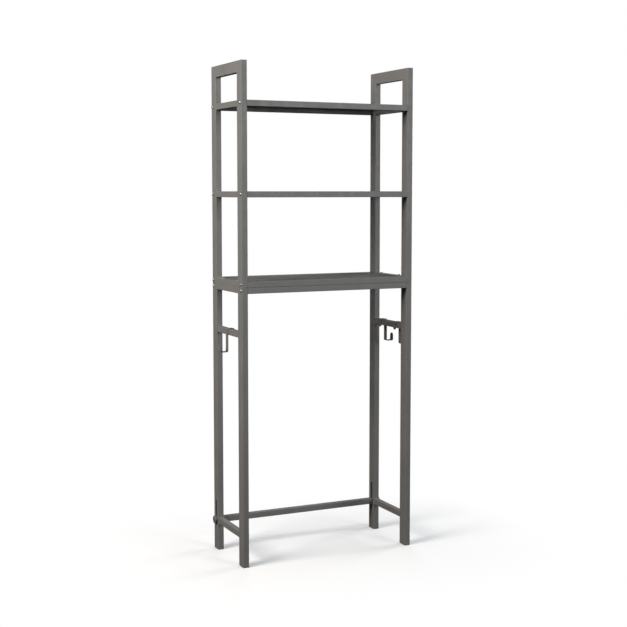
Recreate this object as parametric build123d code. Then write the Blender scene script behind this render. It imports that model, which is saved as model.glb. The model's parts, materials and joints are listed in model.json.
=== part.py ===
from build123d import *
import os

# Freestanding storage rack that stands over a toilet: a welded upper frame with three
# mesh shelves bolted to a lower frame of four legs.  Millimetres, +Z up, front at -Y.
# The origin is on the floor at the middle of the rack.

# Overall size
HEIGHT = 1664.0
WIDTH = 632.0                    # over the outer faces of the posts
DEPTH = 272.0                    # over the front and rear faces of the posts

# Tube stock
POST_WIDTH = 20.0                # along X
POST_DEPTH = 40.0                # along Y
RAIL = 20.0                      # square tube of every rail and crossbar
TOP_BAR_HEIGHT = 38.0
WALL = 1.0
OUTER_CORNER = 1.5
INNER_CORNER = 0.5
WELDED_CORNER = 2.0              # rounding of the frame's two top corners, seen from the side

# Heights
SECTION_JOINT_Z = 930.5          # where the upper frame stands on the lower frame
SEAM_GAP = 0.4                   # between the ends of the upper posts and of the legs
SEAM_BEVEL = 0.6                 # around the outside of those ends
SHELF_PITCH = 293.5
HOOK_RAIL_BOTTOM = 764.0
BOTTOM_BAR_BOTTOM = 94.0

# Mesh shelf panels
MESH_THICKNESS = 1.0
MESH_RECESS = 3.0                # from the top of the rails down to the mesh
MESH_END_GAP = 0.5               # between the mesh and the side rails

# Bolts, nuts and inserts
BOLT_RADIUS = 3.0
BOLT_HOLE_RADIUS = 3.3
BOLT_HEAD_RADIUS = 5.5
BOLT_HEAD_HEIGHT = 3.2
BOLT_HEAD_EDGE = 0.6
BOLT_HEAD_TOP_RADIUS = 2.9
BOLT_HEAD_SHOULDER = (4.6, 2.2)  # radius and height of a point half-way up the dome
SOCKET_ACROSS_CORNERS = 4.6
SOCKET_DEPTH = 2.0
NUT_BORE_RADIUS = 3.1
INSERT_PLAY = 0.1                # between an insert and the tube around it
INSERT_CORNER = 1.0
RAIL_NUT_LENGTH = 16.0
RAIL_BOLT_REACH = 12.0           # of a bolt into the end of a rail
JOINING_BOLT_OFFSET = 64.0       # from the middle of the side rail, along Y
JOINING_NUT_RADIUS = 4.5
JOINING_NUT_LENGTH = 13.0
JOINING_BOLT_LENGTH = 31.0

# Height-adjustable crossbar, its slots and its clamp knobs
CROSSBAR_TRAVEL = 65.0
CROSSBAR_SIDE_GAP = 0.3          # between the crossbar's ends and the posts
STUD_RADIUS = 4.0
STUD_BORE_RADIUS = 4.1
SLOT_SIDE_PLAY = 0.3
STUD_REACH = 18.0                # of a stud into the end of the crossbar
CROSSBAR_NUT_LENGTH = 22.0
KNOB_GAP = 0.3                   # between a knob and the post
KNOB_RADIUS = 13.5
KNOB_THICKNESS = 8.0
KNOB_EDGE = 1.2
KNOB_FLUTES = 12
KNOB_FLUTE_RADIUS = 2.2
KNOB_FLUTE_CENTRE = 14.6
KNOB_DISH_RADIUS = 9.0           # of the shallow ring sunk in the knob's face
KNOB_DISH_DEPTH = 1.2
KNOB_BOSS_RADIUS = 4.8           # left standing in the middle of the dish
KNOB_SOCKET_DEPTH = 6.0

# Strap hooks that hang on the hook rails
HOOK_STRAP_WIDTH = 20.0
HOOK_STRAP = 2.0
HOOK_EDGE = 0.5                  # rounding of the strap's edges
HOOK_PLAY = 0.2                  # between a hook and its rail
HOOK_BOTTOM = 706.0
HOOK_REACH = 28.0                # outwards from the outer face of the rail
HOOK_LIP_TOP = 733.5
HOOK_TAIL = 6.5                  # of the inner leg below the rail
HOOK_SADDLE_BEND = 2.0
HOOK_CRADLE_BEND = 4.0
RIGHT_HOOK_OFFSET = 54.0         # of each right-hand hook from the middle of its rail

# Foot plugs
FOOT_FLANGE = 2.0
FOOT_PLUG_LENGTH = 22.0

SIDES = {"left": -1, "right": 1}
ENDS = {"front": -1, "rear": 1}
SHELVES = {"lower": 0, "middle": 1, "top": 2}

# Derived positions
POST_X = (WIDTH - POST_WIDTH) / 2
POST_Y = (DEPTH - POST_DEPTH) / 2
RAIL_X = (WIDTH - RAIL) / 2
RAIL_Y = (DEPTH - RAIL) / 2
SPAN_X = WIDTH - 2 * POST_WIDTH
SPAN_Y = DEPTH - 2 * POST_DEPTH
LOWER_SHELF_Z = SECTION_JOINT_Z + RAIL
CROSSBAR_Z = BOTTOM_BAR_BOTTOM + RAIL / 2
HOOK_RAIL_Z = HOOK_RAIL_BOTTOM + RAIL / 2
LOWER_RAIL_Z = SECTION_JOINT_Z - RAIL / 2
TUBE_BORE = RAIL - 2 * WALL


def shelf_top(level):
    """Height of the top of the rails of a shelf, counted from the lowest one."""
    return LOWER_SHELF_Z + level * SHELF_PITCH


def tube(width, depth, length):
    """Hollow rectangular tube along Z, standing on the XY plane."""
    outer = RectangleRounded(width, depth, OUTER_CORNER)
    bore = RectangleRounded(width - 2 * WALL, depth - 2 * WALL, INNER_CORNER)
    return extrude(outer - bore, length)


def tube_along_x(length, y, z):
    """Square rail tube along X, centred on x = 0."""
    return Pos(-length / 2, y, z) * Rot(0, 90, 0) * tube(RAIL, RAIL, length)


def tube_along_y(width, height, length, x, z):
    """Rectangular tube along Y, centred on y = 0, with its height along Z."""
    return Pos(x, -length / 2, z) * Rot(-90, 0, 0) * tube(width, height, length)


def cylinder_along_x(radius, length, x, y, z):
    return Pos(x, y, z) * Rot(0, 90, 0) * Cylinder(radius, length)


def button_bolt(shank_length):
    """Button-head bolt along Z, its head above the XY plane and its shank below."""
    with BuildPart() as bolt:
        with BuildSketch(Plane.XZ):
            with BuildLine():
                edge_top = (BOLT_HEAD_RADIUS, BOLT_HEAD_EDGE)
                crown = (BOLT_HEAD_TOP_RADIUS, BOLT_HEAD_HEIGHT)
                Polyline((0, BOLT_HEAD_HEIGHT), (0, -shank_length), (BOLT_RADIUS, -shank_length),
                         (BOLT_RADIUS, 0), (BOLT_HEAD_RADIUS, 0), edge_top)
                ThreePointArc(edge_top, BOLT_HEAD_SHOULDER, crown)
                Line(crown, (0, BOLT_HEAD_HEIGHT))
            make_face()
        revolve(axis=Axis.Z)
        with BuildSketch(Plane.XY.offset(BOLT_HEAD_HEIGHT - SOCKET_DEPTH)):
            RegularPolygon(SOCKET_ACROSS_CORNERS / 2, 6)
        extrude(amount=SOCKET_DEPTH, mode=Mode.SUBTRACT)
    return bolt.part


def facing_out(side, solid):
    """Turn a solid made along +Z so that +Z points out of the left or right side."""
    return Rot(0, 90 * side, 0) * solid


def mitre_wedge(end):
    """Everything above the mitre line at one top corner of a side frame."""
    outer = end * DEPTH / 2
    inner = end * (DEPTH / 2 - POST_DEPTH)
    low = HEIGHT - TOP_BAR_HEIGHT
    above = HEIGHT + TOP_BAR_HEIGHT
    outline = Polyline((outer, HEIGHT), (inner, low), (inner, above), (outer, above), (outer, HEIGHT))
    profile = make_face(Plane.YZ * outline)
    return extrude(profile, WIDTH, both=True)


def side_outline():
    """Solid with the outline of the rack seen from the side, its top corners rounded."""
    slab = Pos(0, 0, HEIGHT / 2) * Box(2 * WIDTH, DEPTH, HEIGHT)
    top_corners = slab.edges().filter_by(Axis.X).group_by(Axis.Z)[-1]
    return fillet(top_corners, WELDED_CORNER)


def bolt_holes(x, heights, y):
    return [cylinder_along_x(BOLT_HOLE_RADIUS, 2 * POST_WIDTH, x, y, z) for z in heights]


def bevel_end(end_face):
    """Takes the sharp outer edge off the end of a post."""
    return chamfer(end_face.outer_wire().edges(), SEAM_BEVEL)


def upper_post(side, end):
    """Upper post, mitred at the top and drilled for the shelf bolts."""
    x = side * POST_X
    bottom = SECTION_JOINT_Z + SEAM_GAP / 2
    post = Pos(x, end * POST_Y, bottom) * tube(POST_WIDTH, POST_DEPTH, HEIGHT - bottom)
    post = bevel_end(post.faces().sort_by(Axis.Z)[0])
    post -= mitre_wedge(end)
    heights = [shelf_top(level) - RAIL / 2 for level in SHELVES.values()]
    for hole in bolt_holes(x, heights, end * RAIL_Y):
        post -= hole
    return post & side_outline()


def top_bar(side):
    """Bar over a side frame, mitred to both posts."""
    z = HEIGHT - TOP_BAR_HEIGHT / 2
    bar = tube_along_y(POST_WIDTH, TOP_BAR_HEIGHT, DEPTH, side * POST_X, z)
    inner = DEPTH / 2 - POST_DEPTH
    middle = Pos(side * POST_X, 0, z) * Box(2 * POST_WIDTH, 2 * inner, 2 * TOP_BAR_HEIGHT)
    kept = middle + mitre_wedge(-1) + mitre_wedge(1)
    return bar & kept & side_outline()


def leg(side, end):
    """Leg of the lower frame.  The rear legs carry the slots of the crossbar."""
    x = side * POST_X
    top = SECTION_JOINT_Z - SEAM_GAP / 2
    post = Pos(x, end * POST_Y, FOOT_FLANGE) * tube(POST_WIDTH, POST_DEPTH, top - FOOT_FLANGE)
    post = bevel_end(post.faces().sort_by(Axis.Z)[-1])
    for hole in bolt_holes(x, [LOWER_RAIL_Z], end * RAIL_Y):
        post -= hole
    if end > 0:
        post -= slot_cutter(x)
    return post


def slot_cutter(x):
    """Obround slot that a knob's stud slides in, cut through both walls of a rear leg."""
    radius = STUD_RADIUS + SLOT_SIDE_PLAY
    low = CROSSBAR_Z - SLOT_SIDE_PLAY
    high = CROSSBAR_Z + CROSSBAR_TRAVEL + SLOT_SIDE_PLAY
    slot = cylinder_along_x(radius, 2 * POST_WIDTH, x, POST_Y, low)
    slot += cylinder_along_x(radius, 2 * POST_WIDTH, x, POST_Y, high)
    slot += Pos(x, POST_Y, (low + high) / 2) * Box(2 * POST_WIDTH, 2 * radius, high - low)
    return slot


def side_rail(side, z):
    return tube_along_y(RAIL, RAIL, SPAN_Y, side * RAIL_X, z)


def joining_points(side):
    return [(side * RAIL_X, way * JOINING_BOLT_OFFSET) for way in (-1, 1)]


def drilled_side_rail(side, z, radius):
    """Side rail with the vertical holes of the two bolts that join the sections."""
    rail = side_rail(side, z)
    for x, y in joining_points(side):
        rail -= Pos(x, y, z) * Cylinder(radius, 2 * RAIL)
    return rail


def joining_bolts():
    bolts = []
    for side in SIDES.values():
        for x, y in joining_points(side):
            bolts.append(Pos(x, y, LOWER_SHELF_Z) * button_bolt(JOINING_BOLT_LENGTH))
    return bolts


def joining_nuts():
    """Round threaded inserts set in the top wall of the lower frame's side rails."""
    nuts = []
    for side in SIDES.values():
        for x, y in joining_points(side):
            body = Cylinder(JOINING_NUT_RADIUS - INSERT_PLAY, JOINING_NUT_LENGTH)
            body -= Cylinder(NUT_BORE_RADIUS, JOINING_NUT_LENGTH)
            nuts.append(Pos(x, y, SECTION_JOINT_Z - JOINING_NUT_LENGTH / 2) * body)
    return nuts


def rail_bolts(z):
    """The four bolts that hold one pair of rails between the side frames."""
    bolts = []
    for side in SIDES.values():
        for end in ENDS.values():
            bolt = facing_out(side, button_bolt(POST_WIDTH + RAIL_BOLT_REACH))
            bolts.append(Pos(side * WIDTH / 2, end * RAIL_Y, z) * bolt)
    return bolts


def square_insert(length, bore_radius):
    """Square threaded insert along Z, centred, that fits inside a rail tube."""
    width = TUBE_BORE - 2 * INSERT_PLAY
    block = extrude(RectangleRounded(width, width, INSERT_CORNER), length / 2, both=True)
    return block - Cylinder(bore_radius, length)


def rail_nuts():
    """Inserts in both ends of every bolted rail."""
    heights = [shelf_top(level) - RAIL / 2 for level in SHELVES.values()] + [LOWER_RAIL_Z]
    nuts = []
    for z in heights:
        for side in SIDES.values():
            for end in ENDS.values():
                x = side * (SPAN_X - RAIL_NUT_LENGTH) / 2
                insert = facing_out(side, square_insert(RAIL_NUT_LENGTH, NUT_BORE_RADIUS))
                nuts.append(Pos(x, end * RAIL_Y, z) * insert)
    return nuts


def mesh_panel(level):
    """Expanded-metal panel between the rails of a shelf, as a plain sheet."""
    length = SPAN_X - 2 * MESH_END_GAP
    depth = DEPTH - 2 * RAIL
    z = shelf_top(level) - MESH_RECESS - MESH_THICKNESS / 2
    return Pos(0, 0, z) * Box(length, depth, MESH_THICKNESS)


def crossbar():
    length = SPAN_X - 2 * CROSSBAR_SIDE_GAP
    return tube_along_x(length, POST_Y, CROSSBAR_Z)


def crossbar_nuts():
    """Inserts in the ends of the crossbar that the knobs' studs screw into."""
    nuts = []
    for side in SIDES.values():
        x = side * (SPAN_X / 2 - CROSSBAR_SIDE_GAP - CROSSBAR_NUT_LENGTH / 2)
        insert = facing_out(side, square_insert(CROSSBAR_NUT_LENGTH, STUD_BORE_RADIUS))
        nuts.append(Pos(x, POST_Y, CROSSBAR_Z) * insert)
    return nuts


def clamp_knob(side):
    """Round fluted knob outside a rear leg, its face dished, with a blind socket for its stud."""
    disc = extrude(Circle(KNOB_RADIUS), KNOB_THICKNESS)
    disc = fillet(disc.edges().filter_by(GeomType.CIRCLE), KNOB_EDGE)
    flute = Pos(KNOB_FLUTE_CENTRE, 0, KNOB_THICKNESS / 2) * Cylinder(KNOB_FLUTE_RADIUS, KNOB_THICKNESS)
    for index in range(KNOB_FLUTES):
        disc -= Rot(0, 0, 360 * index / KNOB_FLUTES) * flute
    dish = Cylinder(KNOB_DISH_RADIUS, KNOB_DISH_DEPTH) - Cylinder(KNOB_BOSS_RADIUS, KNOB_DISH_DEPTH)
    disc -= Pos(0, 0, KNOB_THICKNESS - KNOB_DISH_DEPTH / 2) * dish
    disc -= Pos(0, 0, KNOB_SOCKET_DEPTH / 2) * Cylinder(STUD_RADIUS, KNOB_SOCKET_DEPTH)
    return Pos(side * (WIDTH / 2 + KNOB_GAP), POST_Y, CROSSBAR_Z) * facing_out(side, disc)


def knob_stud(side):
    """Threaded stud from inside the knob, through the leg, into the crossbar."""
    outer = WIDTH / 2 + KNOB_GAP + KNOB_SOCKET_DEPTH
    inner = SPAN_X / 2 - CROSSBAR_SIDE_GAP - STUD_REACH
    x = side * (outer + inner) / 2
    return cylinder_along_x(STUD_RADIUS, outer - inner, x, POST_Y, CROSSBAR_Z)


def rounded_end_cutter(x, z, direction):
    """Trims a strap's end at height z to a half-round, seen along X."""
    radius = HOOK_STRAP_WIDTH / 2
    length = 4 * HOOK_STRAP
    block = Pos(x, 0, z - direction * radius / 2) * Box(length, 2 * radius, radius)
    return block - cylinder_along_x(radius, length, x, 0, z - direction * radius)


def strap_hook(side, y):
    """Hook bent from flat strap: over the rail, down its outer side and out to a lip."""
    saddle = RAIL / 2 + HOOK_PLAY + HOOK_STRAP / 2
    lip_x = RAIL / 2 + HOOK_REACH - HOOK_STRAP / 2
    floor_z = HOOK_BOTTOM + HOOK_STRAP / 2
    tail_z = HOOK_RAIL_BOTTOM - HOOK_TAIL
    points = [(-saddle, tail_z), (-saddle, HOOK_RAIL_Z + saddle), (saddle, HOOK_RAIL_Z + saddle),
              (saddle, floor_z), (lip_x, floor_z), (lip_x, HOOK_LIP_TOP)]
    bends = [HOOK_SADDLE_BEND, HOOK_SADDLE_BEND, HOOK_CRADLE_BEND, HOOK_CRADLE_BEND]
    route = Plane.XZ * FilletPolyline(points, radius=bends)
    strap = sweep(Plane(route.position_at(0), z_dir=route.tangent_at(0))
                  * RectangleRounded(HOOK_STRAP, HOOK_STRAP_WIDTH, HOOK_EDGE), path=route)
    strap -= rounded_end_cutter(lip_x, HOOK_LIP_TOP, 1)
    strap -= rounded_end_cutter(-saddle, tail_z, -1)
    if side < 0:
        strap = mirror(strap, about=Plane.YZ)
    return Pos(side * RAIL_X, y, 0) * strap


def foot_plug(side, end):
    """Plastic plug in the bottom of a leg, with a flange the size of the tube."""
    flange = extrude(RectangleRounded(POST_WIDTH, POST_DEPTH, OUTER_CORNER), FOOT_FLANGE)
    plug_width = POST_WIDTH - 2 * (WALL + INSERT_PLAY)
    plug_depth = POST_DEPTH - 2 * (WALL + INSERT_PLAY)
    plug = extrude(RectangleRounded(plug_width, plug_depth, INSERT_CORNER), FOOT_PLUG_LENGTH)
    return Pos(side * POST_X, end * POST_Y, 0) * (flange + plug)


def upper_frame():
    pieces = {}
    for side_name, side in SIDES.items():
        for end_name, end in ENDS.items():
            pieces[f"upper_{side_name}_{end_name}_post"] = upper_post(side, end)
        pieces[f"{side_name}_top_bar"] = top_bar(side)
        for shelf_name, level in SHELVES.items():
            z = shelf_top(level) - RAIL / 2
            if shelf_name == "lower":
                rail = drilled_side_rail(side, z, BOLT_HOLE_RADIUS)
            else:
                rail = side_rail(side, z)
            pieces[f"{side_name}_{shelf_name}_shelf_side_rail"] = rail
    return pieces


def shelves():
    pieces = {}
    for shelf_name, level in SHELVES.items():
        z = shelf_top(level) - RAIL / 2
        for end_name, end in ENDS.items():
            pieces[f"{shelf_name}_shelf_{end_name}_rail"] = tube_along_x(SPAN_X, end * RAIL_Y, z)
        pieces[f"{shelf_name}_shelf_mesh"] = mesh_panel(level)
        pieces[f"{shelf_name}_shelf_bolts"] = rail_bolts(z)
    return pieces


def lower_frame():
    pieces = {}
    for side_name, side in SIDES.items():
        for end_name, end in ENDS.items():
            pieces[f"{side_name}_{end_name}_leg"] = leg(side, end)
            pieces[f"{side_name}_{end_name}_foot_plug"] = foot_plug(side, end)
        joined_rail = drilled_side_rail(side, LOWER_RAIL_Z, JOINING_NUT_RADIUS)
        pieces[f"{side_name}_leg_frame_top_rail"] = joined_rail
        pieces[f"{side_name}_hook_rail"] = side_rail(side, HOOK_RAIL_Z)
        pieces[f"{side_name}_bottom_bar"] = side_rail(side, CROSSBAR_Z)
    for end_name, end in ENDS.items():
        pieces[f"{end_name}_leg_rail"] = tube_along_x(SPAN_X, end * RAIL_Y, LOWER_RAIL_Z)
    pieces["leg_rail_bolts"] = rail_bolts(LOWER_RAIL_Z)
    return pieces


def fasteners():
    return {"joining_bolts": joining_bolts(), "joining_nuts": joining_nuts(), "rail_end_nuts": rail_nuts()}


def adjustable_crossbar():
    pieces = {"crossbar": crossbar(), "crossbar_end_nuts": crossbar_nuts()}
    for side_name, side in SIDES.items():
        pieces[f"{side_name}_clamp_knob"] = clamp_knob(side)
        pieces[f"{side_name}_knob_stud"] = knob_stud(side)
    return pieces


def hooks():
    return {
        "left_hook": strap_hook(-1, 0),
        "right_front_hook": strap_hook(1, -RIGHT_HOOK_OFFSET),
        "right_rear_hook": strap_hook(1, RIGHT_HOOK_OFFSET),
    }


def write_parts(pieces):
    os.makedirs("parts", exist_ok=True)
    for name, piece in pieces.items():
        shape = Compound(children=piece) if isinstance(piece, list) else piece
        export_step(shape, f"parts/{name}.step")
        print(name, round(shape.volume, 1))


write_parts(upper_frame() | shelves() | lower_frame() | fasteners() | adjustable_crossbar() | hooks())
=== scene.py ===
import json
import math

import bmesh
import bpy
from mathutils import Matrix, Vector


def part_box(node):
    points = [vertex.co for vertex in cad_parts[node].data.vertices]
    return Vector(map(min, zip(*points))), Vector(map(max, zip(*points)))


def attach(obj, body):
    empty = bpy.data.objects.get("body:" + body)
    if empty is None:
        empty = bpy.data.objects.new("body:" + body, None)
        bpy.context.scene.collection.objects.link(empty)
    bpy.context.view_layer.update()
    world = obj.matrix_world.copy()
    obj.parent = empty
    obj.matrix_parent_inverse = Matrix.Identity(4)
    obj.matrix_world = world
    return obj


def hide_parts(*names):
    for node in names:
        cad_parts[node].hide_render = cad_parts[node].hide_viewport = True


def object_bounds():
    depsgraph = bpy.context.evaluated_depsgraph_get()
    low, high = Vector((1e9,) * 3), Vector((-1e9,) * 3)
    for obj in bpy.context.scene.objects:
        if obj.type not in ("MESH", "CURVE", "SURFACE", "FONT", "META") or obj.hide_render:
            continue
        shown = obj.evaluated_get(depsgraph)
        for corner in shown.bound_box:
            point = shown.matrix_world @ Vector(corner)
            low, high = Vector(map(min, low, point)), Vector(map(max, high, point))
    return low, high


# Looks of the over-toilet rack, in metres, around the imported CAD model.
MM = 0.001

# Camera, from the front left and level with the middle shelf
CAMERA_PLACE = (-1.797, -3.815, 1.244)
CAMERA_HEADING = 25.27           # degrees from +Y towards +X
CAMERA_TILT = -4.89              # degrees above the horizon
CAMERA_LENS = 70.25              # mm, on Blender's 36 mm sensor
CAMERA_SHIFT_Y = -0.028

# Raised expanded metal of the shelves
DIAMOND_LENGTH = 12.7 * MM       # long way of a diamond, along X
DIAMOND_WIDTH = 6.35 * MM        # short way, along Y
STRAND_WIDTH = 1.3 * MM
STRAND_THICKNESS = 0.8 * MM
STRAND_LEAN = math.radians(30)
BOND_SHARE = 0.18                # of a diamond's length that a bond takes up
EDGE_STRIP_WIDTH = 3.5 * MM
EDGE_STRIP_THICKNESS = 1.0 * MM

# Fillet welds where the side frames' rails meet their posts
WELDED_RAILS = ("_side_rail", "_leg_frame_top_rail", "_hook_rail", "_bottom_bar")
WELD_LEG = 2.0 * MM
WELD_END_GAP = 1.2 * MM          # from the bead's end to the rail's side
WELD_END_SHARE = 0.35            # of the leg, at the bead's two ends
WELD_BELLY_SHARE = 0.42          # of the leg; a half would make the bead's face flat
WELD_RIPPLE = 0.16 * MM
WELD_STEP = 1.0 * MM

# Base colours
FRAME_COAT = (0.126, 0.1235, 0.1195)
# Bare steel inside the legs, made darker still with painted shade for the hollow tube's shade
BARE_AND_SHADED_INSIDE = (0.022, 0.02, 0.018)
MESH_COAT = (0.088, 0.0865, 0.083)
HOOK_COAT = (0.122, 0.1195, 0.115)
# Painted shade on the hook straps' narrow edge faces that face along Y
SHADED_STRAP_EDGE = (0.04, 0.039, 0.037)
BOLT_STEEL = (0.36, 0.35, 0.335)
ZINC_STEEL = (0.52, 0.52, 0.5)
KNOB_PLASTIC = (0.115, 0.114, 0.11)
FOOT_PLASTIC = (0.09, 0.088, 0.085)

# Powder coat: scales in cycles per metre, then heights and shares
COAT_CLOUDS = 9
COAT_GLOSS = 55
COAT_RUBBING = 120
COAT_PEEL = 420
COAT_SPECKLE = 1600
COAT_GRAIN = 1900
COAT_PEEL_HEIGHT = 0.12 * MM
COAT_GRAIN_HEIGHT = 0.04 * MM
COAT_SPECKLE_SHARE = 0.1
COATED_DEPTH = 0.8 * MM          # to which the coat reaches into the legs' slots

# Rubbed arrises, by the largest component of the surface's normal
ARRIS_FULL = 0.72
ARRIS_NONE = 0.96
ARRIS_RUBBED_SHARE = 0.55
ARRIS_LIGHTNESS = 1.3            # of the coat's colour

# Plated steel and moulded plastic, in the same way
STEEL_SPOTS = 300
STEEL_GLOSS = 900
STEEL_GRAIN = 2500
STEEL_GRAIN_HEIGHT = 0.02 * MM
PLASTIC_PATCHES = 70
PLASTIC_GLOSS = 240
PLASTIC_GRAIN = 2200
PLASTIC_GRAIN_HEIGHT = 0.05 * MM

# Studio floor, by distance from the rack's footprint
FLOOR_SIZE = 120
FLOOR_COLOUR = (0.66, 0.67, 0.685)
FLOOR_SHADOW_REACH = 0.05
FLOOR_FADE_END = 0.5
FLOOR_GLOW = 0.2                 # share of the floor's own white beneath the rack

# Light of the surroundings
WORLD_LIGHT_LEVEL = 0.055        # from the horizon and below
WORLD_LIGHT_ABOVE = 0.34         # from straight above
WARM_WHITE = (1, 0.94, 0.88)
COOL_WHITE = (0.93, 0.985, 1)
NEAR_WHITE = (0.98, 0.99, 1)

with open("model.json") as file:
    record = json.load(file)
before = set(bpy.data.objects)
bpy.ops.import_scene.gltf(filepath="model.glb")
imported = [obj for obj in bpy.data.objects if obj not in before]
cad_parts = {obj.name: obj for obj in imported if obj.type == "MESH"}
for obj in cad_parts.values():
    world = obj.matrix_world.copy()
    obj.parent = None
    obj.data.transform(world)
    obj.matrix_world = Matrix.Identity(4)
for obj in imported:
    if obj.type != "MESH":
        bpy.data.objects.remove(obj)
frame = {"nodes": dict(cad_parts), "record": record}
record = frame["record"]
cad_low, cad_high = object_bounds()


# ---------------------------------------------------------------- node helpers

def new_material(name):
    """A new node material and its Principled shader."""
    material = bpy.data.materials.new(name)
    material.use_nodes = True
    shader = material.node_tree.nodes["Principled BSDF"]
    return material, shader


def add_node(owner, kind, **settings):
    """Adds a node to a material or a world, and sets its inputs and properties by name."""
    node = owner.node_tree.nodes.new(kind)
    for key, value in settings.items():
        if key in node.inputs:
            node.inputs[key].default_value = value
        else:
            setattr(node, key, value)
    return node


def link(owner, source, target):
    owner.node_tree.links.new(source, target)


def noise(owner, scale, detail=2.0):
    """Noise over the part's own coordinates, in cycles per metre."""
    place = add_node(owner, "ShaderNodeTexCoord")
    texture = add_node(owner, "ShaderNodeTexNoise", Scale=scale, Detail=detail)
    link(owner, place.outputs["Object"], texture.inputs["Vector"])
    return texture.outputs["Fac"]


def remap(owner, value, low, high, from_low=0.3, from_high=0.7):
    """Stretches a value's range onto low to high, and keeps it within those."""
    node = add_node(owner, "ShaderNodeMapRange")
    node.inputs["From Min"].default_value = from_low
    node.inputs["From Max"].default_value = from_high
    node.inputs["To Min"].default_value = low
    node.inputs["To Max"].default_value = high
    link(owner, value, node.inputs["Value"])
    return node.outputs["Result"]


def tint(owner, factor, dark, light):
    """Colour between dark and light, by a value from 0 to 1."""
    node = add_node(owner, "ShaderNodeMix", data_type="RGBA")
    node.inputs["A"].default_value = (*dark, 1)
    node.inputs["B"].default_value = (*light, 1)
    link(owner, factor, node.inputs["Factor"])
    return node.outputs["Result"]


def bump(owner, height, distance, strength, under=None):
    """Normals of a relief, on top of another one's where that is given."""
    node = add_node(owner, "ShaderNodeBump")
    node.inputs["Distance"].default_value = distance
    node.inputs["Strength"].default_value = strength
    link(owner, height, node.inputs["Height"])
    if under is not None:
        link(owner, under, node.inputs["Normal"])
    return node.outputs["Normal"]


def vector_steps(owner, vector, steps):
    """A vector after a run of operations, each with its second operand."""
    for operation, operand in steps:
        node = add_node(owner, "ShaderNodeVectorMath", operation=operation)
        node.inputs[1].default_value = operand
        link(owner, vector, node.inputs[0])
        vector = node.outputs["Vector"]
    return vector


def largest_of(owner, vector):
    """The largest of a vector's three components."""
    split = add_node(owner, "ShaderNodeSeparateXYZ")
    link(owner, vector, split.inputs["Vector"])
    largest = split.outputs["X"]
    for axis in "YZ":
        both = add_node(owner, "ShaderNodeMath", operation="MAXIMUM")
        link(owner, largest, both.inputs[0])
        link(owner, split.outputs[axis], both.inputs[1])
        largest = both.outputs["Value"]
    return largest


def shade(colour, factor):
    return tuple(channel * factor for channel in colour)


# ------------------------------------------------------------------- materials

def powder_coat(name, colour, roughness=0.47):
    """Satin powder coat: fine orange peel, faint clouding and rubbed arrises."""
    material, shader = new_material(name)
    clouds = remap(material, noise(material, COAT_CLOUDS, detail=4), 0, 1)
    base = tint(material, clouds, shade(colour, 0.93), shade(colour, 1.06))
    speckle = remap(material, noise(material, COAT_SPECKLE, detail=1), 0, 1)
    mixed = add_node(material, "ShaderNodeMix", data_type="RGBA", blend_type="MULTIPLY")
    mixed.inputs["Factor"].default_value = COAT_SPECKLE_SHARE
    link(material, base, mixed.inputs["A"])
    link(material, speckle, mixed.inputs["B"])
    worn = add_node(material, "ShaderNodeMix", data_type="RGBA")
    worn.inputs["B"].default_value = (*shade(colour, ARRIS_LIGHTNESS), 1)
    link(material, mixed.outputs["Result"], worn.inputs["A"])
    link(material, arris(material), worn.inputs["Factor"])
    link(material, worn.outputs["Result"], shader.inputs["Base Color"])
    rough = remap(material, noise(material, COAT_GLOSS, detail=3), roughness - 0.05, roughness + 0.06)
    link(material, rough, shader.inputs["Roughness"])
    shader.inputs["Specular IOR Level"].default_value = 0.32
    peel = bump(material, noise(material, COAT_PEEL), COAT_PEEL_HEIGHT, 0.35)
    grain = bump(material, noise(material, COAT_GRAIN, detail=1), COAT_GRAIN_HEIGHT, 0.4, under=peel)
    link(material, grain, shader.inputs["Normal"])
    return material


def arris(material):
    """A mask of the rounded corners of straight tubes, where the coat rubs thin."""
    place = add_node(material, "ShaderNodeTexCoord")
    facing = vector_steps(material, place.outputs["Normal"], [("ABSOLUTE", (0, 0, 0))])
    corner = remap(material, largest_of(material, facing), 1, 0, from_low=ARRIS_FULL, from_high=ARRIS_NONE)
    rubbing = noise(material, COAT_RUBBING, detail=3)
    patches = remap(material, rubbing, 0, ARRIS_RUBBED_SHARE, from_low=0.45, from_high=0.7)
    worn = add_node(material, "ShaderNodeMath", operation="MULTIPLY")
    link(material, corner, worn.inputs[0])
    link(material, patches, worn.inputs[1])
    return worn.outputs["Value"]


def overlay(material, mask, colour):
    """Lays a colour over the base colour where a mask is 1."""
    base = material.node_tree.nodes["Principled BSDF"].inputs["Base Color"]
    over = add_node(material, "ShaderNodeMix", data_type="RGBA")
    over.inputs["B"].default_value = (*colour, 1)
    link(material, base.links[0].from_socket, over.inputs["A"])
    link(material, mask, over.inputs["Factor"])
    link(material, over.outputs["Result"], base)


def bare_and_shaded_inside_legs(material):
    """A mask of the inner walls of the legs, which show through the crossbar's slots: bare steel, darkened
    further with painted shade.
    """
    low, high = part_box("right_rear_leg")
    place = add_node(material, "ShaderNodeTexCoord")
    # The legs mirror one another in X and Y, so one leg's box does for all four.
    outward = vector_steps(material, place.outputs["Object"], [
        ("ABSOLUTE", (0, 0, 0)),
        ("SUBTRACT", (low + high) / 2),
        ("ABSOLUTE", (0, 0, 0)),
        ("SUBTRACT", (high - low) / 2),
    ])
    inside = add_node(material, "ShaderNodeMath", operation="LESS_THAN")
    inside.inputs[1].default_value = -COATED_DEPTH
    link(material, largest_of(material, outward), inside.inputs[0])
    return inside.outputs["Value"]


def shaded_strap_edges(material):
    """A mask of the two long edge faces of a strap that is bent about Y; these face along Y and take
    painted shade.
    """
    place = add_node(material, "ShaderNodeTexCoord")
    split = add_node(material, "ShaderNodeSeparateXYZ")
    link(material, place.outputs["Normal"], split.inputs["Vector"])
    across = add_node(material, "ShaderNodeMath", operation="ABSOLUTE")
    link(material, split.outputs["Y"], across.inputs[0])
    return remap(material, across.outputs["Value"], 0, 1, from_low=0.5, from_high=0.9)


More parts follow.
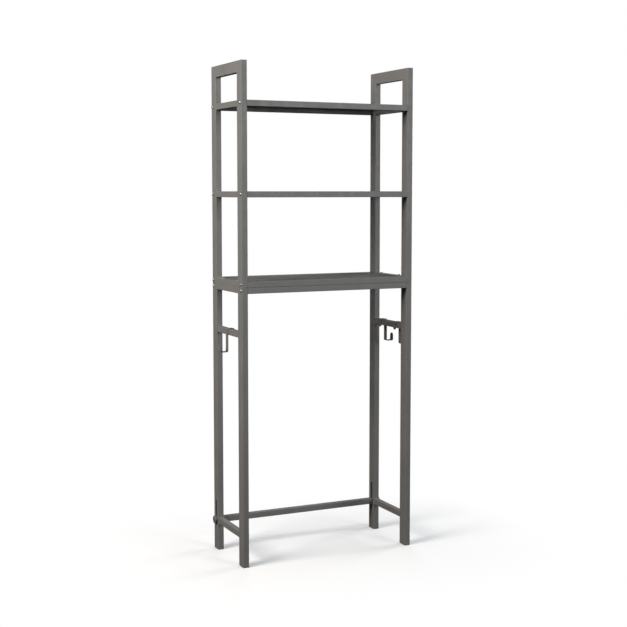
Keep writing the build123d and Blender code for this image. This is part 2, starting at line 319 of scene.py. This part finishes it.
def plated_steel(name, colour, roughness):
    """Plated steel of the fasteners, with a fine grain and a few dull spots."""
    material, shader = new_material(name)
    shader.inputs["Metallic"].default_value = 1.0
    spots = remap(material, noise(material, STEEL_SPOTS, detail=3), 0, 1)
    base = tint(material, spots, shade(colour, 0.8), shade(colour, 1.1))
    link(material, base, shader.inputs["Base Color"])
    rough = remap(material, noise(material, STEEL_GLOSS), roughness - 0.06, roughness + 0.1)
    link(material, rough, shader.inputs["Roughness"])
    grain = bump(material, noise(material, STEEL_GRAIN), STEEL_GRAIN_HEIGHT, 0.5)
    link(material, grain, shader.inputs["Normal"])
    return material


def moulded_plastic(name, colour, roughness):
    """Moulded plastic with a fine spark-eroded grain."""
    material, shader = new_material(name)
    patches = remap(material, noise(material, PLASTIC_PATCHES, detail=3), 0, 1)
    base = tint(material, patches, shade(colour, 0.9), shade(colour, 1.1))
    link(material, base, shader.inputs["Base Color"])
    rough = remap(material, noise(material, PLASTIC_GLOSS), roughness - 0.06, roughness + 0.06)
    link(material, rough, shader.inputs["Roughness"])
    shader.inputs["Specular IOR Level"].default_value = 0.45
    grain = bump(material, noise(material, PLASTIC_GRAIN, detail=1), PLASTIC_GRAIN_HEIGHT, 0.6)
    link(material, grain, shader.inputs["Normal"])
    return material


def make_materials():
    frame_coating = powder_coat("frame_coating", FRAME_COAT)
    # Bare steel with painted shade on the legs' inner walls
    overlay(frame_coating, bare_and_shaded_inside_legs(frame_coating), BARE_AND_SHADED_INSIDE)
    hook_coating = powder_coat("hook_coating", HOOK_COAT, roughness=0.44)
    # Painted shade on the hook straps' edge faces
    overlay(hook_coating, shaded_strap_edges(hook_coating), SHADED_STRAP_EDGE)
    return {
        "frame_coating": frame_coating,
        "mesh_coating": powder_coat("mesh_coating", MESH_COAT, roughness=0.5),
        "hook_coating": hook_coating,
        "bolt_steel": plated_steel("bolt_steel", BOLT_STEEL, roughness=0.36),
        "zinc_steel": plated_steel("zinc_steel", ZINC_STEEL, roughness=0.32),
        "knob_plastic": moulded_plastic("knob_plastic", KNOB_PLASTIC, roughness=0.36),
        "foot_plastic": moulded_plastic("foot_plastic", FOOT_PLASTIC, roughness=0.55),
    }


# ---------------------------------------------------------------- mesh shelves

def close_bar(bm, sections):
    """Closes a run of four-cornered sections into a solid bar."""
    rings = [[bm.verts.new(corner) for corner in section] for section in sections]
    for before, after in zip(rings, rings[1:]):
        for corner in range(4):
            following = (corner + 1) % 4
            bm.faces.new((before[corner], after[corner], after[following], before[following]))
    bm.faces.new(rings[0])
    bm.faces.new(list(reversed(rings[-1])))


def strand_section(x, y, z):
    """Corners of a leaning strand's section about its middle."""
    across = Vector((0, math.cos(STRAND_LEAN), -math.sin(STRAND_LEAN))) * STRAND_WIDTH / 2
    through = Vector((0, math.sin(STRAND_LEAN), math.cos(STRAND_LEAN))) * STRAND_THICKNESS / 2
    middle = Vector((x, y, z))
    return [middle - across - through, middle + across - through,
            middle + across + through, middle - across + through]


def expanded_sheet(low, high):
    """Mesh of raised expanded metal, over a box's length and width and under its top."""
    bm = bmesh.new()
    rows = round((high.y - low.y) / (DIAMOND_WIDTH / 2))
    row_pitch = (high.y - low.y) / rows
    diamonds = round((high.x - low.x) / DIAMOND_LENGTH)
    length = (high.x - low.x) / diamonds
    sway = row_pitch / 2 - STRAND_WIDTH * math.cos(STRAND_LEAN) / 2
    rise = STRAND_WIDTH * math.sin(STRAND_LEAN) / 2
    middle_z = high.z - 2 * rise - STRAND_THICKNESS * math.cos(STRAND_LEAN) / 2
    bond_length = length * BOND_SHARE
    for row in range(rows):
        y = low.y + (row + 0.5) * row_pitch
        sections = []
        for bond in range(2 * diamonds + 1):
            way = 1 if (bond + row) % 2 else -1
            bond_x = low.x + bond * length / 2
            for x in (bond_x - bond_length / 2, bond_x + bond_length / 2):
                x = min(max(x, low.x), high.x)
                sections.append(strand_section(x, y + way * sway, middle_z + way * rise))
        close_bar(bm, sections)
    for sections in edge_strips(low, high, middle_z):
        close_bar(bm, sections)
    return bm


def edge_strips(low, high, z):
    """The four flat strips that the strands' ends are welded to."""
    half = EDGE_STRIP_THICKNESS / 2
    strips = []
    for y in (low.y, high.y - EDGE_STRIP_WIDTH):
        strips.append([[(x, y, z - half), (x, y + EDGE_STRIP_WIDTH, z - half),
                        (x, y + EDGE_STRIP_WIDTH, z + half), (x, y, z + half)] for x in (low.x, high.x)])
    for x in (low.x, high.x - EDGE_STRIP_WIDTH):
        ends = (low.y + EDGE_STRIP_WIDTH, high.y - EDGE_STRIP_WIDTH)
        strips.append([[(x + EDGE_STRIP_WIDTH, y, z - half), (x, y, z - half),
                        (x, y, z + half), (x + EDGE_STRIP_WIDTH, y, z + half)] for y in ends])
    return strips


def object_from(bm, name, material):
    bmesh.ops.recalc_face_normals(bm, faces=bm.faces)
    mesh = bpy.data.meshes.new(name)
    bm.to_mesh(mesh)
    bm.free()
    mesh.materials.append(material)
    piece = bpy.data.objects.new(name, mesh)
    bpy.context.scene.collection.objects.link(piece)
    return piece


def make_shelf_meshes(material):
    for shelf in ("lower", "middle", "top"):
        node = f"{shelf}_shelf_mesh"
        low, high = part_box(node)
        piece = object_from(expanded_sheet(low, high), f"{shelf}_expanded_mesh", material)
        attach(piece, "frame")
        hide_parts(node)


# ----------------------------------------------------------------------- welds

def weld_bead(bm, x_low, x_high, corner_y, corner_z, side_y, side_z):
    """Rippled fillet along X in the corner between a post and a rail."""
    steps = round((x_high - x_low) / WELD_STEP)
    sections = []
    for step in range(steps + 1):
        x = x_low + (x_high - x_low) * step / steps
        taper = WELD_END_SHARE if step in (0, steps) else 1.0
        leg = WELD_LEG * taper + WELD_RIPPLE * (step % 2)
        belly = leg * WELD_BELLY_SHARE
        sections.append([(x, corner_y, corner_z), (x, corner_y + side_y * leg, corner_z),
                         (x, corner_y + side_y * belly, corner_z + side_z * belly),
                         (x, corner_y, corner_z + side_z * leg)])
    close_bar(bm, sections)


def make_welds(material):
    """Beads over and under each side rail where it meets its two posts."""
    for rail in sorted(name for name in frame["nodes"] if name.endswith(WELDED_RAILS)):
        low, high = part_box(rail)
        bm = bmesh.new()
        for end_y, side_y in ((low.y, 1), (high.y, -1)):
            for edge_z, side_z in weld_edges(rail, low, high):
                weld_bead(bm, low.x + WELD_END_GAP, high.x - WELD_END_GAP, end_y, edge_z, side_y, side_z)
        piece = object_from(bm, f"{rail}_welds", material)
        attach(piece, "frame")


def weld_edges(rail, low, high):
    """Heights and sides of a rail's beads: none where two rails meet or where hooks slide."""
    edges = []
    if not rail.endswith(("_leg_frame_top_rail", "_hook_rail")):
        edges.append((high.z, 1))
    if not rail.endswith("_lower_shelf_side_rail"):
        edges.append((low.z, -1))
    return edges


# ------------------------------------------------------------- stage and light

def make_stage():
    """White floor that takes shadows near the rack and fades to plain white further off."""
    material, shader = new_material("studio_floor")
    shader.inputs["Base Color"].default_value = (*FLOOR_COLOUR, 1)
    shader.inputs["Roughness"].default_value = 0.9
    shader.inputs["Specular IOR Level"].default_value = 0.1
    white = add_node(material, "ShaderNodeEmission")
    place = add_node(material, "ShaderNodeTexCoord")
    beyond = vector_steps(material, place.outputs["Object"], [
        ("ABSOLUTE", (0, 0, 0)),
        ("SUBTRACT", (cad_high.x, cad_high.y, 0)),
        ("MAXIMUM", (0, 0, 0)),
    ])
    far = add_node(material, "ShaderNodeVectorMath", operation="LENGTH")
    link(material, beyond, far.inputs[0])
    fade = remap(material, far.outputs["Value"], FLOOR_GLOW, 1,
                 from_low=FLOOR_SHADOW_REACH, from_high=FLOOR_FADE_END)
    blend = add_node(material, "ShaderNodeMixShader")
    link(material, fade, blend.inputs["Fac"])
    link(material, shader.outputs["BSDF"], blend.inputs[1])
    link(material, white.outputs["Emission"], blend.inputs[2])
    link(material, blend.outputs["Shader"], material.node_tree.nodes["Material Output"].inputs["Surface"])
    bpy.ops.mesh.primitive_plane_add(size=FLOOR_SIZE, location=(0, 0, 0))
    floor = bpy.context.object
    floor.name = "studio_floor"
    floor.data.materials.append(material)
    floor.visible_diffuse = False
    floor.visible_glossy = False


def aim(thing, target):
    direction = Vector(target) - thing.location
    thing.rotation_euler = direction.to_track_quat("-Z", "Y").to_euler()


def area_light(name, place, target, size, power, colour=(1, 1, 1)):
    light = bpy.data.lights.new(name, "AREA")
    light.shape = "DISK"
    light.size = size
    light.energy = power
    light.color = colour
    lamp = bpy.data.objects.new(name, light)
    lamp.location = place
    lamp.visible_camera = False
    bpy.context.scene.collection.objects.link(lamp)
    aim(lamp, target)
    return lamp


def make_lights():
    area_light("key", place=(-3.25, -0.75, 2.75), target=(0, 0, 1.1),
               size=1.8, power=235, colour=WARM_WHITE)
    area_light("front_fill", place=(3.2, -7.2, 2.6), target=(0.15, 0, 0.8),
               size=3.6, power=368, colour=COOL_WHITE)
    area_light("right_fill", place=(3.3, 0.4, 1.7), target=(0, 0, 1.0),
               size=1.8, power=80, colour=NEAR_WHITE)
    back_fill = area_light("back_fill", place=(1.4, 3.2, 1.3), target=(0, 0, 0.9),
                           size=2.0, power=50)
    back_fill.visible_glossy = False


def make_world():
    """White to the camera; dimmer, and dark from below, as light on the rack."""
    world = bpy.data.worlds.new("studio")
    bpy.context.scene.world = world
    world.use_nodes = True
    light = world.node_tree.nodes["Background"]
    light.inputs["Color"].default_value = (1, 1, 1, 1)
    place = add_node(world, "ShaderNodeTexCoord")
    split = add_node(world, "ShaderNodeSeparateXYZ")
    link(world, place.outputs["Generated"], split.inputs["Vector"])
    strength = remap(world, split.outputs["Z"], WORLD_LIGHT_LEVEL, WORLD_LIGHT_ABOVE,
                     from_low=0, from_high=1)
    link(world, strength, light.inputs["Strength"])
    shown = add_node(world, "ShaderNodeBackground", Color=(1, 1, 1, 1))
    ray = add_node(world, "ShaderNodeLightPath")
    choose = add_node(world, "ShaderNodeMixShader")
    link(world, ray.outputs["Is Camera Ray"], choose.inputs["Fac"])
    link(world, light.outputs["Background"], choose.inputs[1])
    link(world, shown.outputs["Background"], choose.inputs[2])
    link(world, choose.outputs["Shader"], world.node_tree.nodes["World Output"].inputs["Surface"])


def make_camera():
    data = bpy.data.cameras.new("camera")
    data.lens = CAMERA_LENS
    data.shift_y = CAMERA_SHIFT_Y
    camera = bpy.data.objects.new("camera", data)
    camera.location = CAMERA_PLACE
    camera.rotation_euler = (math.radians(90 + CAMERA_TILT), 0, -math.radians(CAMERA_HEADING))
    bpy.context.scene.collection.objects.link(camera)
    bpy.context.scene.camera = camera


# ----------------------------------------------------------------------- build

materials = make_materials()
for part in record["subparts"]:
    data = frame["nodes"][part["node"]].data
    data.materials.clear()
    data.materials.append(materials[part["material_slot"]])

make_shelf_meshes(materials["mesh_coating"])
make_welds(materials["frame_coating"])
make_stage()
make_lights()
make_world()
make_camera()
bpy.context.scene.view_settings.view_transform = "Standard"
